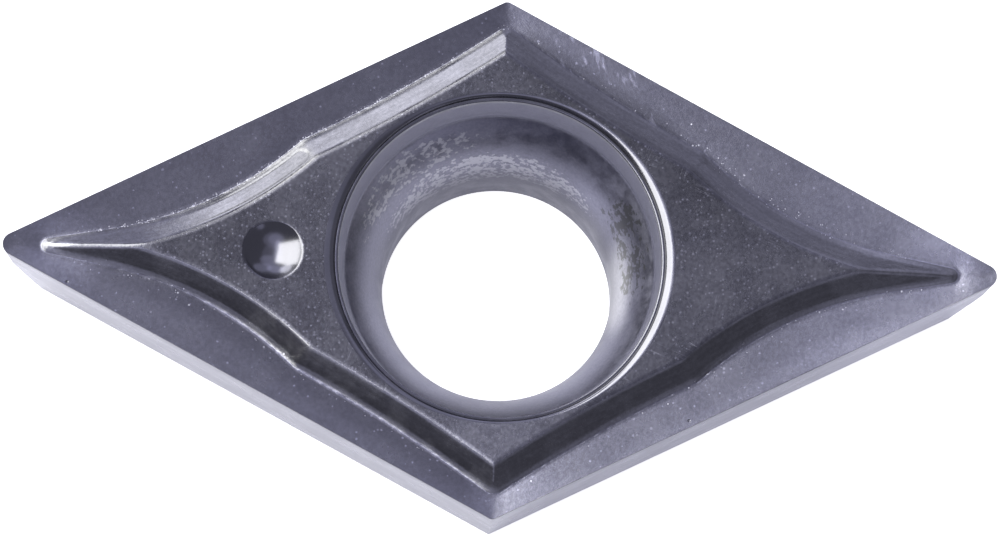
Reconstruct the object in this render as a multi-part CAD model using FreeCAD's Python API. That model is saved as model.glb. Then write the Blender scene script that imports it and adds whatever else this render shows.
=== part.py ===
"""Single-sided turning insert: a 55 degree rhombus of sintered carbide with one countersunk screw hole.

The blank is an inverted four-sided frustum whose flanks lean inwards by the clearance angle.
Its top is dished: four rake faces slope down from the cutting edges to the foot of a raised
plateau. Each side of the plateau is a chip former bank of constant slope, scooped by two
arcs in plan, and the banks run together into a narrow ridge that points at each nose.
The plateau carries a rolled rim round the screw hole and one round index dimple.

Units are millimetres. The origin is on the hole's axis at the seat face, +Z points up
through the rake faces, and +X runs along the long diagonal to one of the two noses.
"""
import FreeCAD, Part
import math
import os

# Blank
inscribed_circle = 9.525
point_angle = 55.0
edge_height = 3.97
clearance_angle = 7.0
nose_radius = 0.24
side_corner_radius = 0.15

# Rake faces and plateau; the scoops' plan sizes hold at the plan depth below the cutting edge
rake_angle = 5.0
plateau_rise = 0.20
bank_angle = 30.0
plan_depth = 0.08

# Long shallow scoop of each bank, beside the obtuse corner
side_scoop_radius = 32.0
side_scoop_inset = 0.80
side_scoop_station = 4.97
side_tip_radius = 0.25

# Short deep scoop of each bank, beside the nose
nose_scoop_radius = 7.5
nose_scoop_inset = 1.11

# Ridge that points at the nose; the nose scoop leaves it this wide at its neck
ridge_neck_width = 0.51
ridge_tip_radius = 0.15
ridge_tip_setback = 1.07

# Soft edges of the pressed form
foot_fillet = 0.10
brow_fillet = 0.06

# Screw hole, from the plateau down; a narrow land is left between its rolled rim and the brow
rim_land = 0.025
rim_roll = 0.15
collar_depth = 0.57
collar_angle = 15.0
throat_radius = 2.30
throat_height = 1.10

# Index dimple on the plateau
dimple_standoff = 1.28
dimple_diameter = 1.20
dimple_depth = 0.25

# Worked-out sizes
half_angle = math.radians(point_angle / 2)
clearance_slope = math.tan(math.radians(clearance_angle))
rake_slope = math.tan(math.radians(rake_angle))
bank_run = 1 / math.tan(math.radians(bank_angle))
half_width = inscribed_circle / 2
half_length_sharp = half_width / math.sin(half_angle)
half_breadth_sharp = half_width / math.cos(half_angle)
plateau_height = edge_height + plateau_rise
brow_inset = side_scoop_inset + (plateau_rise + plan_depth) * bank_run
rim_radius = half_width - brow_inset - rim_land - rim_roll
dimple_offset = rim_radius + dimple_standoff
foot_height = edge_height - plan_depth

# How far the rake faces run on under the plateau, and how deep the plateau is rooted in them
dish_overlap = 0.30
rooting = 0.03
dish_width = nose_scoop_inset + dish_overlap
dish_depth = dish_width * rake_slope

# Allowances of the cutting tools and of the search for edges
overcut = 1.0
wedge_reach = 3.0
shortest_edge = 0.01
tilt_margin = 2.0

ORIGIN = FreeCAD.Vector(0, 0, 0)
LENGTHWAYS = FreeCAD.Vector(1, 0, 0)
CROSSWAYS = FreeCAD.Vector(0, 1, 0)
UP = FreeCAD.Vector(0, 0, 1)


def rhombus(inner_radius, z):
    """Corners of a rhombus at height z, drawn round a circle of the given radius."""
    reach = inner_radius / math.sin(half_angle)
    breadth = inner_radius / math.cos(half_angle)
    return [FreeCAD.Vector(x, y, z) for x, y in ((reach, 0), (0, breadth), (-reach, 0), (0, -breadth))]


def frustum(low_radius, low_z, high_radius, high_z):
    """Rhombic frustum between two heights, given by the inscribed radius at each."""
    low, high = rhombus(low_radius, low_z), rhombus(high_radius, high_z)
    outlines = [low, high]
    for index in range(4):
        following = (index + 1) % 4
        outlines.append([low[index], low[following], high[following], high[index]])
    faces = [Part.Face(Part.makePolygon(outline + outline[:1])) for outline in outlines]
    return Part.makeSolid(Part.makeShell(faces))


def cone_at(x, y, radius, level, growth, low_z, high_z):
    """Vertical cone with a given radius at one level, which changes with height and ends at its apex."""
    apex_z = level - radius / growth
    low_z = max(low_z, apex_z) if growth > 0 else low_z
    high_z = min(high_z, apex_z) if growth < 0 else high_z
    low_radius = 0 if low_z == apex_z else radius + (low_z - level) * growth
    high_radius = 0 if high_z == apex_z else radius + (high_z - level) * growth
    return Part.makeCone(low_radius, high_radius, high_z - low_z, FreeCAD.Vector(x, y, low_z), UP)


def rounding_tool(x, y, spread, heading, radius, level, growth, low_z, high_z):
    """What lies outside a rounded corner: a wedge of half angle `spread` about a heading, less its cone.

    Where the cone narrows downwards the wedge starts at its apex, so the corner below stays sharp.
    """
    if growth > 0:
        low_z = max(low_z, level - radius / growth)
    points = [FreeCAD.Vector(x, y, low_z)]
    for ray, stretch in ((heading - spread, wedge_reach), (heading, wedge_reach / math.cos(spread)),
                         (heading + spread, wedge_reach)):
        points.append(FreeCAD.Vector(x + stretch * math.cos(ray), y + stretch * math.sin(ray), low_z))
    wedge = Part.Face(Part.makePolygon(points + points[:1])).extrude(UP * (high_z - low_z))
    return wedge.cut(cone_at(x, y, radius, level, growth, low_z, high_z))


def in_four_quadrants(tool):
    """The tool, drawn in the quadrant of -X and +Y, and its three mirror images."""
    pair = at_both_ends(tool, LENGTHWAYS)
    return pair + [one.mirror(ORIGIN, CROSSWAYS) for one in pair]


def at_both_ends(tool, axis):
    """The tool and its mirror image along one axis."""
    return [tool, tool.mirror(ORIGIN, axis)]


def from_edge(station, inset):
    """Plan point given along the upper left edge from the obtuse corner, and inwards from that edge."""
    x = -station * math.cos(half_angle) + inset * math.sin(half_angle)
    y = half_breadth_sharp - station * math.sin(half_angle) - inset * math.cos(half_angle)
    return x, y


def nose_scoop_centre():
    """Plan centre of the arc that is inset from the edge and stands off the long diagonal by half the neck."""
    y = nose_scoop_radius + ridge_neck_width / 2
    inset = nose_scoop_inset - nose_scoop_radius
    station = (half_breadth_sharp - inset * math.cos(half_angle) - y) / math.sin(half_angle)
    return from_edge(station, inset)


def make_blank():
    """Frustum with conical noses and corners, and four rake faces dished into its top."""
    seat_radius = half_width - edge_height * clearance_slope
    blank = frustum(seat_radius, 0, half_width, edge_height)
    nose_x = -(half_length_sharp - nose_radius / math.sin(half_angle))
    nose = rounding_tool(nose_x, 0, math.pi / 2 - half_angle, math.pi, nose_radius, edge_height,
                         clearance_slope, 0, edge_height + overcut)
    side_y = half_breadth_sharp - side_corner_radius / math.cos(half_angle)
    side = rounding_tool(0, side_y, half_angle, math.pi / 2, side_corner_radius, edge_height,
                         clearance_slope, 0, edge_height + overcut)
    blank = blank.cut(at_both_ends(nose, LENGTHWAYS) + at_both_ends(side, CROSSWAYS))
    dish = frustum(half_width - dish_width, edge_height - dish_depth,
                   half_width + overcut / rake_slope, edge_height + overcut)
    return blank.cut(dish)


def ridge_side_tool(x, y, heading, low_z, high_z):
    """What lies outside a straight side of the ridge, which leaves the nose scoop at the given heading.

    The scoop's arc and the ridge's rounded tip share this straight side as a tangent.
    """
    inward = FreeCAD.Vector(math.cos(heading), math.sin(heading), 0)
    to_nose = inward.cross(UP)
    touch = FreeCAD.Vector(x, y, 0) + inward * nose_scoop_radius
    section = [(-nose_scoop_radius, low_z), ((low_z - foot_height) * bank_run, low_z),
               ((high_z - foot_height) * bank_run, high_z), (-nose_scoop_radius, high_z)]
    corners = [touch + inward * across + UP * height for across, height in section]
    return Part.Face(Part.makePolygon(corners + corners[:1])).extrude(to_nose * nose_scoop_radius)


def make_plateau():
    """Raised middle: a slab scooped on four sides, with rounded side tips and a ridge at each nose."""
    low_z = edge_height - dish_depth - rooting
    high_z = plateau_height + overcut
    slab = frustum(half_width, low_z, half_width, plateau_height)

    side_x, side_y = from_edge(side_scoop_station, side_scoop_inset - side_scoop_radius)
    side_scoop = cone_at(side_x, side_y, side_scoop_radius, foot_height, bank_run, low_z, high_z)
    nose_x, nose_y = nose_scoop_centre()
    nose_scoop = cone_at(nose_x, nose_y, nose_scoop_radius, foot_height, bank_run, low_z, high_z)

    tip_x = -(half_length_sharp - ridge_tip_setback - ridge_tip_radius)
    swing = math.acos((nose_scoop_radius + ridge_tip_radius) / math.hypot(tip_x - nose_x, nose_y))
    heading = math.atan2(-nose_y, tip_x - nose_x) + swing
    ridge_side = ridge_side_tool(nose_x, nose_y, heading, low_z, high_z)
    tip = rounding_tool(tip_x, 0, -heading, math.pi, ridge_tip_radius, foot_height, -bank_run, low_z, high_z)

    corner_y = side_y - math.sqrt((side_scoop_radius + side_tip_radius) ** 2 - side_x ** 2)
    corner_spread = math.atan2(-side_x, side_y - corner_y)
    corner = rounding_tool(0, corner_y, corner_spread, math.pi / 2, side_tip_radius, foot_height,
                           -bank_run, low_z, high_z)
    tools = in_four_quadrants(side_scoop) + in_four_quadrants(nose_scoop) + in_four_quadrants(ridge_side)
    for tool in tools + at_both_ends(tip, LENGTHWAYS) + at_both_ends(corner, CROSSWAYS):
        slab = slab.cut(tool)
    return slab


def tilts_and_fold(solid, edge):
    """Tilts from the horizontal of the two faces at the middle of an edge, and the angle between them."""
    middle = edge.valueAt((edge.FirstParameter + edge.LastParameter) / 2)
    normals = [face.normalAt(*face.Surface.parameter(middle))
               for face in solid.ancestorsOfType(edge, Part.Face)]
    tilts = sorted(math.degrees(math.acos(min(abs(normal.z), 1))) for normal in normals)
    return tilts, math.degrees(normals[0].getAngle(normals[-1]))


def edges_between(solid, low_tilt, high_tilt):
    """Folded edges on the top side, clear of its symmetry planes, where faces of these two tilts meet."""
    found = []
    for edge in solid.Edges:
        if edge.BoundBox.ZMin < edge_height - dish_depth or edge.Length < shortest_edge:
            continue
        tilts, fold = tilts_and_fold(solid, edge)
        as_wanted = abs(tilts[0] - low_tilt) < tilt_margin and abs(tilts[-1] - high_tilt) < tilt_margin
        on_axis = abs(edge.CenterOfMass.x) < shortest_edge or abs(edge.CenterOfMass.y) < shortest_edge
        if as_wanted and fold > tilt_margin and not on_axis:
            found.append(edge)
    return found


def soften(body):
    """Rounds the brow of each bank, and its foot along the rake face."""
    body = body.makeFillet(brow_fillet, edges_between(body, 0, bank_angle))
    return body.makeFillet(foot_fillet, edges_between(body, rake_angle, bank_angle))


def make_hole():
    """Screw hole: rolled rim, steep collar, bell-shaped seat and straight throat, turned about Z."""
    rim_z = plateau_height - rim_roll
    collar_z = rim_z - collar_depth
    collar_radius = rim_radius - collar_depth * math.tan(math.radians(collar_angle))
    drop = collar_z - throat_height
    step = collar_radius - throat_radius
    bell_radius = (step ** 2 + drop ** 2) / (2 * step)
    turn = math.asin(drop / bell_radius) / 2
    roll_mid = rim_roll * (1 - math.sqrt(0.5))

    def point(radius, height):
        return FreeCAD.Vector(radius, 0, height)

    roll_top = point(rim_radius + rim_roll, plateau_height)
    roll_middle = point(rim_radius + roll_mid, plateau_height - roll_mid)
    rim = point(rim_radius, rim_z)
    collar = point(collar_radius, collar_z)
    bell_middle = point(throat_radius + bell_radius * (1 - math.cos(turn)),
                        throat_height + bell_radius * math.sin(turn))
    throat = point(throat_radius, throat_height)
    outlet = point(throat_radius, -overcut)
    axis_low = point(0, -overcut)
    axis_high = point(0, plateau_height + overcut)
    lip = point(rim_radius + rim_roll, plateau_height + overcut)
    edges = [Part.makeLine(axis_high, lip), Part.makeLine(lip, roll_top),
             Part.Arc(roll_top, roll_middle, rim).toShape(), Part.makeLine(rim, collar),
             Part.Arc(collar, bell_middle, throat).toShape(), Part.makeLine(throat, outlet),
             Part.makeLine(outlet, axis_low), Part.makeLine(axis_low, axis_high)]
    profile = Part.Face(Part.Wire(edges))
    return profile.revolve(ORIGIN, UP, 360)


def make_dimple():
    """Ball that presses the round index dimple into the plateau."""
    ball_radius = ((dimple_diameter / 2) ** 2 + dimple_depth ** 2) / (2 * dimple_depth)
    centre = FreeCAD.Vector(-dimple_offset, 0, plateau_height - dimple_depth + ball_radius)
    return Part.makeSphere(ball_radius, centre)


def make_insert():
    """The whole insert as one solid."""
    body = make_blank().fuse(make_plateau()).removeSplitter()
    return soften(body.cut(make_hole()).cut(make_dimple()))


insert = make_insert()
os.makedirs("parts", exist_ok=True)
insert.exportStep("parts/insert_body.step")
print("solids", len(insert.Solids), "valid", insert.isValid(), "volume", round(insert.Volume, 3))
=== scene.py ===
"""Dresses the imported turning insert: its pressed form as a fine mesh, its coated finishes and a studio."""
import logging
import math
from collections.abc import Callable, Sequence
from dataclasses import dataclass, field
from enum import IntEnum

import bpy
import numpy as np
from mathutils import Matrix, Vector, noise
from mathutils.geometry import delaunay_2d_cdt


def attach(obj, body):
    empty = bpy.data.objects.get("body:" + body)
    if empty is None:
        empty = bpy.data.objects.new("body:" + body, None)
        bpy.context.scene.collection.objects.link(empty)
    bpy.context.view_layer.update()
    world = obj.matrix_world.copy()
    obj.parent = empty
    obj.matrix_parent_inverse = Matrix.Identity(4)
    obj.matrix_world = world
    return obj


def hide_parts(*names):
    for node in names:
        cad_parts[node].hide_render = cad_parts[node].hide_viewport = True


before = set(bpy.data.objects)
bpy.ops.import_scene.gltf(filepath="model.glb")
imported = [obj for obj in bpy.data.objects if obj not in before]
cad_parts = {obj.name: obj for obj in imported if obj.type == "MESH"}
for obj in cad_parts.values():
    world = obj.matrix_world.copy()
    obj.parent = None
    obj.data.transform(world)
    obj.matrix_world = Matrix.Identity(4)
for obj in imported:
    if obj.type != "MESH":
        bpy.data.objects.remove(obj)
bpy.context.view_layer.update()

log = logging.getLogger("insert")

MM = 0.001
TINY = 1e-6
NODE = "insert_body"
FOOT_ATTRIBUTE = "foot_distance"
OFF_TOP = -9.0
COAT = (0.217, 0.217, 0.229)
# Near-white colour of painted glints on single grains and along the feet of the banks, and of the real
# hairline scratches
PAINTED_GLINT_AND_SCRATCH_COLOUR = (0.92, 0.92, 0.95, 1.0)
FILL = (0.87, 0.87, 1.26)
NOISE_MIDDLE = 0.5

Points = np.ndarray
Loop = list[int]
Row = tuple[float, float, "Zone"]
Colour = tuple[float, float, float, float]
Socket = bpy.types.NodeSocket
Sockets = dict[str, Socket]
Masks = tuple[Socket, ...]
Source = Socket | float | tuple[float, ...]


def in_scene(name: str, data: bpy.types.ID) -> bpy.types.Object:
    """Makes an object and links it to the scene.

    Args:
        name: The object's name.
        data: Its mesh, camera or lamp.

    Returns:
        The object.
    """
    made = bpy.data.objects.new(name, data)
    bpy.context.scene.collection.objects.link(made)
    return made


# Form of the insert


class Zone(IntEnum):
    """Areas of the insert with a finish of their own, in the order of the mesh's material slots."""

    RAKE = 0
    BANK = 1
    LAND = 2
    DIMPLE = 3
    RIM = 4
    WALL = 5
    COLLAR = 6
    BELL = 7
    FLANK = 8
    SEAT = 9


@dataclass(frozen=True)
class InsertSizes:
    """Driving sizes in millimetres and degrees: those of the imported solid, and those of its finer forms."""

    inscribed_circle: float = 9.525
    point_angle: float = 55.0
    edge_height: float = 3.97
    clearance_angle: float = 7.0
    nose_radius: float = 0.24
    side_corner_radius: float = 0.15
    skin: float = 0.002
    edge_hone: float = 0.010
    sharpest_radius: float = 0.015
    plateau_rise: float = 0.20
    bank_angle: float = 30.0
    plan_depth: float = 0.08
    trough_depth: float = 0.07
    side_scoop_radius: float = 32.0
    side_scoop_inset: float = 0.80
    side_scoop_station: float = 4.97
    side_tip_radius: float = 0.25
    nose_scoop_radius: float = 7.5
    nose_scoop_inset: float = 1.11
    ridge_neck_width: float = 0.51
    ridge_tip_radius: float = 0.15
    ridge_tip_setback: float = 1.07
    foot_radius: float = 0.30
    brow_radius: float = 0.26
    crease_blend: float = 0.02
    crest_blend: float = 0.13
    tip_fall: float = 0.03
    tip_fall_reach: float = 0.6
    tip_fall_depth: float = 0.12
    foot_line_depth: float = 0.006
    foot_line_width: float = 0.014
    foot_line_ends: tuple[float, float] = (0.2, 1.6)
    pocket_inset: float = 0.25
    pocket_half_width: float = 0.15
    pocket_depth: float = 0.011
    pocket_wall: float = 0.045
    pocket_start: float = 0.12
    pocket_length: float = 3.2
    full_pocket_share: float = 0.4
    worn_pocket_share: float = 0.35
    pit_radius: float = 0.035
    pit_depth: float = 0.02
    pit_floor_share: float = 0.3
    pits: tuple[tuple[float, float], ...] = ((-8.707, -0.747), (3.902, -3.184))
    rim_land: float = 0.025
    rim_roll: float = 0.15
    roll_width: float = 0.085
    roll_drop: float = 0.08
    roll_swell: float = 0.12
    groove_offset: float = 0.042
    groove_depth: float = 0.02
    rim_wall_depth: float = 0.12
    rim_wall_draft: float = 0.014
    bead_reach: float = 0.062
    bead_rise: float = 0.002
    bead_fall: float = 0.016
    crease_depth: float = 0.96
    collar_depth: float = 0.57
    collar_angle: float = 15.0
    throat_radius: float = 2.32
    throat_height: float = 0.88
    exit_chamfer: float = 0.05
    dimple_standoff: float = 1.28
    dimple_diameter: float = 1.20
    dimple_depth: float = 0.25
    dimple_lip: float = 0.012

    @property
    def half_angle(self) -> float:
        """Half of the point angle, in radians."""
        return math.radians(self.point_angle / 2)

    @property
    def sine(self) -> float:
        """Sine of half the point angle."""
        return math.sin(self.half_angle)

    @property
    def cosine(self) -> float:
        """Cosine of half the point angle."""
        return math.cos(self.half_angle)

    @property
    def half_width(self) -> float:
        """Distance from the axis to each cutting edge."""
        return self.inscribed_circle / 2

    @property
    def half_length_sharp(self) -> float:
        """Distance from the axis to the point where two cutting edges would meet at a nose."""
        return self.half_width / self.sine

    @property
    def half_breadth_sharp(self) -> float:
        """Distance from the axis to the point where two cutting edges would meet at an obtuse corner."""
        return self.half_width / self.cosine

    @property
    def clearance_slope(self) -> float:
        """How far a flank leans inwards for each millimetre down."""
        return math.tan(math.radians(self.clearance_angle))

    @property
    def bank_slope(self) -> float:
        """Rise of a bank for each millimetre inwards."""
        return math.tan(math.radians(self.bank_angle))

    @property
    def plateau_height(self) -> float:
        """Height of the plateau above the seat."""
        return self.edge_height + self.plateau_rise

    @property
    def brow_reach(self) -> float:
        """Plan distance from the foot of a bank to its brow."""
        return (self.plateau_rise + self.plan_depth) / self.bank_slope

    @property
    def rim_radius(self) -> float:
        """Radius of the hole's rim, below its roll."""
        return self.half_width - self.side_scoop_inset - self.brow_reach - self.rim_land - self.rim_roll

    @property
    def dimple_x(self) -> float:
        """Place of the index dimple on the long diagonal."""
        return -(self.rim_radius + self.dimple_standoff)

    def rim_reach(self, turns: Points) -> Points:
        """Radius at which the plateau starts to roll over into the hole, wider towards the noses."""
        swell = self.roll_swell * np.cos(turns) ** 2
        return self.rim_radius + self.groove_offset + self.roll_width + swell

    def from_edge(self, station: float, inset: float) -> tuple[float, float]:
        """The x and y at a station along the upper left edge from its sharp obtuse corner, and an inset."""
        x = -station * self.cosine + inset * self.sine
        return x, self.half_breadth_sharp - station * self.sine - inset * self.cosine


def soft_min(first: Points, second: Points, blend: float) -> Points:
    """Lower of two fields, rounded where they differ by less than the blend."""
    overlap = np.maximum(blend - np.abs(first - second), 0)
    return np.minimum(first, second) - overlap ** 2 / (4 * blend)


def soft_max(first: Points, second: Points, blend: float) -> Points:
    """Higher of two fields, rounded where they differ by less than the blend."""
    return -soft_min(-first, -second, blend)


def smooth_step(values: Points, low: float, high: float) -> Points:
    """Ramp from 0 at the low value to 1 at the high one, level at both ends."""
    share = np.clip((values - low) / (high - low), 0, 1)
    return share * share * (3 - 2 * share)


def unevenness(plan: Points, pitch: float, layer: float) -> Points:
    """Smooth noise from about -1 to 1 at plan points, with humps of about one pitch."""
    return np.array([noise.noise(Vector((x / pitch, y / pitch, layer))) for x, y in plan])


def ring(count: int, radius: Points | float, lag: float = 0.0) -> Points:
    """A count of plan points evenly round the axis, counter-clockwise, late by a share of a step."""
    turns = (np.arange(count) + lag) * math.tau / count
    return np.column_stack((radius * np.cos(turns), radius * np.sin(turns)))


def four_ways(quadrant: Points) -> Points:
    """Points of one quadrant, as x and y, with their mirror images in the other three."""
    return np.vstack([quadrant * (along, across) for along in (1, -1) for across in (1, -1)])


def thinned(plan: Points, cell: float) -> Points:
    """Points in their order, with only the first kept in each square cell of a size."""
    _, first = np.unique(np.round(plan / cell).astype(int), axis=0, return_index=True)
    return plan[np.sort(first)]


@dataclass
class Outline:
    """The rounded rhombus that bounds the insert at any height."""

    sizes: InsertSizes
    spacing: float = 0.05
    nose_steps: int = 16
    side_steps: int = 8

    def loop(self, inset: float) -> Points:
        """Points round the outline, counter-clockwise from the right nose.

        Every inset gives the same number of points, so that two loops can be woven together.

        Args:
            inset: Distance inwards from the cutting edges.

        Returns:
            An array of x and y.
        """
        s = self.sizes
        inset += s.skin
        inner = s.half_width - inset
        nose = max(s.nose_radius - inset, s.sharpest_radius)
        side = max(s.side_corner_radius - inset, s.sharpest_radius)
        nose_x = (inner - nose) / s.sine
        side_y = (inner - side) / s.cosine
        nose_turn = math.pi / 2 - s.half_angle
        edge_steps = round(s.half_width / math.sin(2 * s.half_angle) * 2 / self.spacing)
        quarter = []
        for step in range(self.nose_steps):
            turn = nose_turn * step / self.nose_steps
            quarter.append((nose_x + nose * math.cos(turn), nose * math.sin(turn)))
        start = np.array((nose_x + nose * math.cos(nose_turn), nose * math.sin(nose_turn)))
        end = np.array((side * math.cos(nose_turn), side_y + side * math.sin(nose_turn)))
        for step in range(edge_steps):
            quarter.append(tuple(start + (end - start) * step / edge_steps))
        for step in range(self.side_steps):
            turn = nose_turn + (math.pi / 2 - nose_turn) * step / self.side_steps
            quarter.append((side * math.cos(turn), side_y + side * math.sin(turn)))
        back = np.array([(0.0, side_y + side)] + quarter[:0:-1]) * (-1, 1)
        upper = np.vstack((quarter, back))
        lower = np.vstack(([(-(nose_x + nose), 0.0)], upper[:0:-1] * (1, -1)))
        return np.vstack((upper, lower))

    def distance(self, plan: Points) -> Points:
        """Distance inwards from the rounded outline.

        Args:
            plan: Points as x and y.

        Returns:
            One distance for each point, positive inside.
        """
        s = self.sizes
        x, y = np.abs(plan[:, 0]), np.abs(plan[:, 1])
        inside = s.half_width - x * s.sine - y * s.cosine
        nose_x = (s.half_width - s.nose_radius) / s.sine
        beyond = (x - nose_x) * s.cosine - y * s.sine > 0
        at_nose = s.nose_radius - np.hypot(x - nose_x, y)
        side_y = (s.half_width - s.side_corner_radius) / s.cosine
        beside = (y - side_y) * s.sine - x * s.cosine > 0
        at_side = s.side_corner_radius - np.hypot(x, y - side_y)
        return np.where(beyond, at_nose, np.where(beside, at_side, inside))


@dataclass
class ChipFormer:
    """Plan of the banks that rise from the rake faces to the plateau, scooped by arcs."""

    sizes: InsertSizes
    spacing: float = 0.034
    least_steps: int = 6
    row_tolerance: float = 0.004
    side_centre: Points = field(init=False)
    nose_centre: Points = field(init=False)
    tip_centre: Points = field(init=False)
    corner_centre: Points = field(init=False)
    heading: float = field(init=False)

    def __post_init__(self) -> None:
        """Works out the centres of the arcs, in the quadrant of -X and +Y."""
        s = self.sizes
        side_inset = s.side_scoop_inset - s.side_scoop_radius
        self.side_centre = np.array(s.from_edge(s.side_scoop_station, side_inset))
        nose_y = s.nose_scoop_radius + s.ridge_neck_width / 2
        inset = s.nose_scoop_inset - s.nose_scoop_radius
        station = (s.half_breadth_sharp - inset * s.cosine - nose_y) / s.sine
        self.nose_centre = np.array(s.from_edge(station, inset))
        tip_x = -(s.half_length_sharp - s.ridge_tip_setback - s.ridge_tip_radius)
        self.tip_centre = np.array((tip_x, 0.0))
        across = tip_x - self.nose_centre[0]
        swing = math.acos((s.nose_scoop_radius + s.ridge_tip_radius) / math.hypot(across, nose_y))
        self.heading = math.atan2(-nose_y, across) + swing
        reach = s.side_scoop_radius + s.side_tip_radius
        corner_y = self.side_centre[1] - math.sqrt(reach ** 2 - self.side_centre[0] ** 2)
        self.corner_centre = np.array((0.0, corner_y))

    @property
    def inward(self) -> Points:
        """Unit vector across the straight side of the ridge, from the scoop to the ridge."""
        return np.array((math.cos(self.heading), math.sin(self.heading)))

    @property
    def touch(self) -> Points:
        """Point where the nose scoop turns into the straight side of the ridge."""
        return self.nose_centre + self.inward * self.sizes.nose_scoop_radius

    def depth(self, plan: Points) -> Points:
        """Plan distance inwards from the foot of the banks.

        Args:
            plan: Points as x and y.

        Returns:
            One distance for each point, positive on the banks and the plateau.
        """
        s = self.sizes
        left = np.column_stack((-np.abs(plan[:, 0]), plan[:, 1]))
        depth = soft_min(self._beside(left), self._beside(left * (1, -1)), s.crest_blend)
        at_tip = s.ridge_tip_radius - np.hypot(*(left - self.tip_centre).T)
        depth = np.where(left[:, 0] < self.tip_centre[0], np.minimum(at_tip, depth), depth)
        folded = np.column_stack((left[:, 0], np.abs(left[:, 1])))
        from_corner = folded - self.corner_centre
        spread = -self.side_centre[0] / (self.side_centre[1] - self.corner_centre[1])
        at_corner = s.side_tip_radius - np.hypot(*from_corner.T)
        in_corner = -from_corner[:, 0] < from_corner[:, 1] * spread
        return np.where(in_corner, at_corner, depth)

    def _beside(self, left: Points) -> Points:
        """Plan distance from the foot of the banks on the side of +Y alone.

        Args:
            left: Points on the side of -X, as x and y.

        Returns:
            One distance for each point, which grows towards -Y.
        """
        s = self.sizes
        to_side = np.hypot(*(left - self.side_centre).T) - s.side_scoop_radius
        to_nose = np.hypot(*(left - self.nose_centre).T) - s.nose_scoop_radius
        nearest = soft_min(to_side, to_nose, s.crease_blend)
        from_touch = left - self.touch
        past_touch = from_touch @ np.array((self.inward[1], -self.inward[0])) > 0
        return np.where(past_touch, np.minimum(from_touch @ self.inward, nearest), nearest)

    def pocket(self, plan: Points) -> Points:
        """Depth of the shallow pocket that the punch leaves along each nose scoop, from the kink on.

        Args:
            plan: Points as x and y.

        Returns:
            One depth for each point, in millimetres.
        """
        s = self.sizes
        folded = np.column_stack((-np.abs(plan[:, 0]), np.abs(plan[:, 1])))
        from_centre = folded - self.nose_centre
        inset = np.hypot(*from_centre.T) - s.nose_scoop_radius
        turns = np.arctan2(from_centre[:, 1], from_centre[:, 0])
        along = (self._kink_turn(self.nose_centre) - turns) * s.nose_scoop_radius
        along = along - s.pocket_start - s.pocket_half_width
        outside = np.hypot(np.minimum(along, 0), inset - s.pocket_inset) - s.pocket_half_width
        fade = 1 - smooth_step(along, s.pocket_length * s.full_pocket_share, s.pocket_length)
        fade *= np.where((plan[:, 0] < 0) & (plan[:, 1] > 0), 1.0, s.worn_pocket_share)
        return s.pocket_depth * fade * smooth_step(-outside, -s.pocket_wall / 2, s.pocket_wall / 2)

    def foot(self) -> tuple[Points, Points]:
        """Points along the foot in the quadrant of -X and +Y, each with its direction inwards.

        Returns:
            Points and unit directions, from the obtuse corner to the tip of the ridge.
        """
        s = self.sizes
        places, directions = [], []

        def arc(centre: Points, radius: float, first: float, last: float, outside: bool) -> None:
            """Adds points along an arc.

            Args:
                centre: The arc's centre.
                radius: Its radius.
                first: Heading of its first point, seen from the centre.
                last: Heading of its last point.
                outside: Whether the bank rises away from the centre.
            """
            steps = max(round(abs(last - first) * radius / self.spacing), self.least_steps)
            for step in range(steps + 1):
                turn = first + (last - first) * step / steps
                ray = np.array((math.cos(turn), math.sin(turn)))
                places.append(centre + ray * radius)
                directions.append(ray if outside else -ray)

        to_scoop = math.atan2(*(self.side_centre - self.corner_centre)[::-1])
        side_kink, nose_kink = self._kink_turn(self.side_centre), self._kink_turn(self.nose_centre)
        arc(self.corner_centre, s.side_tip_radius, math.pi / 2, to_scoop, False)
        arc(self.side_centre, s.side_scoop_radius, to_scoop - math.pi, side_kink, True)
        arc(self.nose_centre, s.nose_scoop_radius, nose_kink, self.heading, True)
        straight = self.tip_centre - self.inward * s.ridge_tip_radius - self.touch
        steps = round(float(np.hypot(*straight)) / self.spacing)
        for step in range(1, steps):
            places.append(self.touch + straight * step / steps)
            directions.append(self.inward)
        arc(self.tip_centre, s.ridge_tip_radius, self.heading + math.pi, math.pi, False)
        return np.array(places), np.array(directions)

    def _kink(self) -> Points:
        """Point where the two scoops meet, at the foot.

        Returns:
            Its x and y: the one of the circles' two crossings that lies nearer to the axis.
        """
        s = self.sizes
        apart = self.nose_centre - self.side_centre
        gap = float(np.hypot(*apart))
        along = (gap ** 2 + s.side_scoop_radius ** 2 - s.nose_scoop_radius ** 2) / (2 * gap)
        across = math.sqrt(s.side_scoop_radius ** 2 - along ** 2)
        unit = apart / gap
        options = [self.side_centre + unit * along + np.array((-unit[1], unit[0])) * across * sign
                   for sign in (-1, 1)]
        return min(options, key=lambda point: float(np.hypot(*point)))

    def _kink_turn(self, centre: Points) -> float:
        """Heading of the kink, seen from the centre of one scoop."""
        return math.atan2(*(self._kink() - centre)[::-1])

    def row(self, inset: float) -> Points:
        """Points at one plan distance from the foot, all round the plateau.

        Args:
            inset: Distance inwards from the foot; it may be negative.

        Returns:
            An array of x and y.
        """
        places, directions = self.foot()
        moved = places + directions * inset
        kept = moved[np.abs(self.depth(moved) - inset) < self.row_tolerance]
        return four_ways(kept[(kept[:, 0] <= 0) & (kept[:, 1] >= 0)])


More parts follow.
